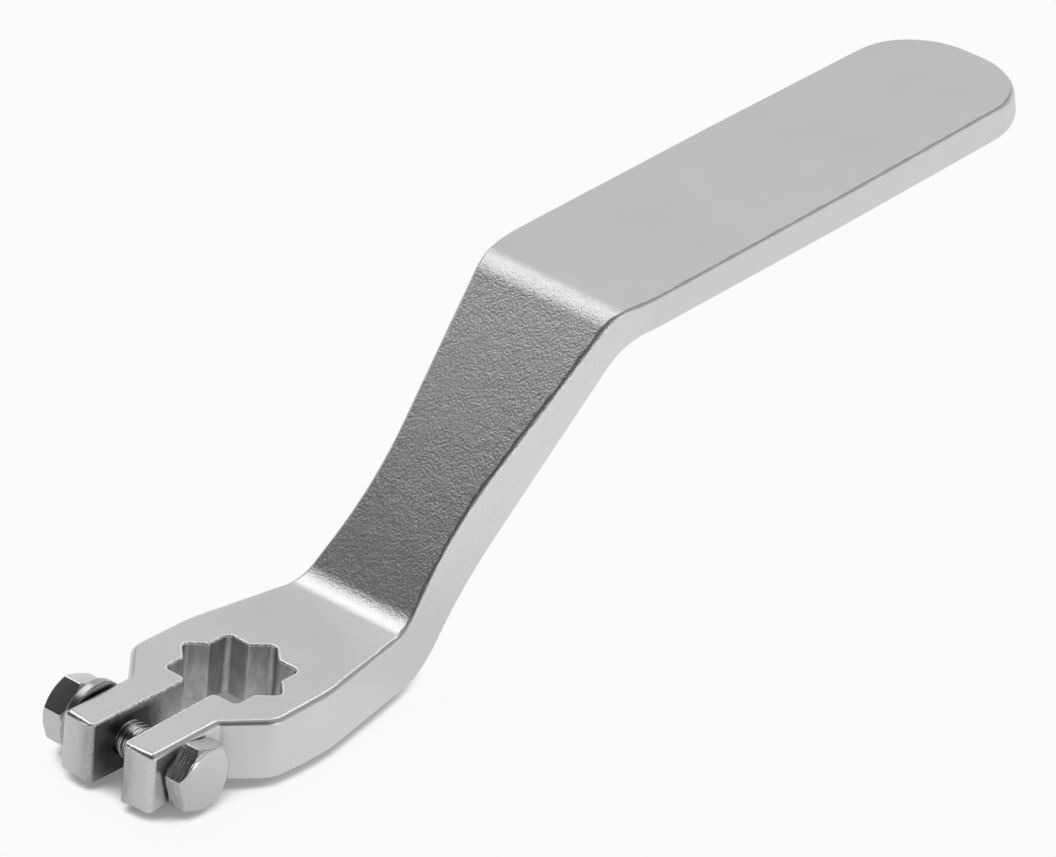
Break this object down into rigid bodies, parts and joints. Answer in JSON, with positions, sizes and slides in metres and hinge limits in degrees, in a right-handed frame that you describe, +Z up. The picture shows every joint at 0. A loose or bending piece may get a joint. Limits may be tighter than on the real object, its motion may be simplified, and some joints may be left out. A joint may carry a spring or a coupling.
{
  "type": "valve hand lever",
  "caption": "Cranked hand lever for a quarter-turn valve, cast in one piece, with a star socket split by a slot and clamped on the stem by a cross bolt.",
  "frame": {"origin": "on the socket axis, at the underside of the hub", "axes": "+X from the socket towards the handle's tip, +Y towards the nut, +Z up along the socket axis"},
  "size_m": [0.2028, 0.0309, 0.0555],
  "materials": {
    "cast_stainless": "satin",
    "bolt_steel": "satin"
  },
  "bodies": {
    "lever": {"lever": "cast_stainless"},
    "clamp_bolt": {"clamp_bolt": "bolt_steel"},
    "nut": {"hex_nut": "bolt_steel", "flat_washer": "bolt_steel"}
  },
  "joints": [
    {"name": "bolt_turn", "type": "hinge", "parent": "lever", "child": "clamp_bolt", "pos_m": [-0.0191, 0, 0.0048], "axis": [0, 1, 0], "range_deg": [-1081, 73]},
    {"name": "nut_travel", "type": "slide", "parent": "lever", "child": "nut", "axis": [0, 1, 0], "range_m": [-0.0002, 0.003]}
  ],
  "couplings": [
    {"joint": "bolt_turn", "follows": "nut_travel", "rad_per_m": -6283.2}
  ]
}
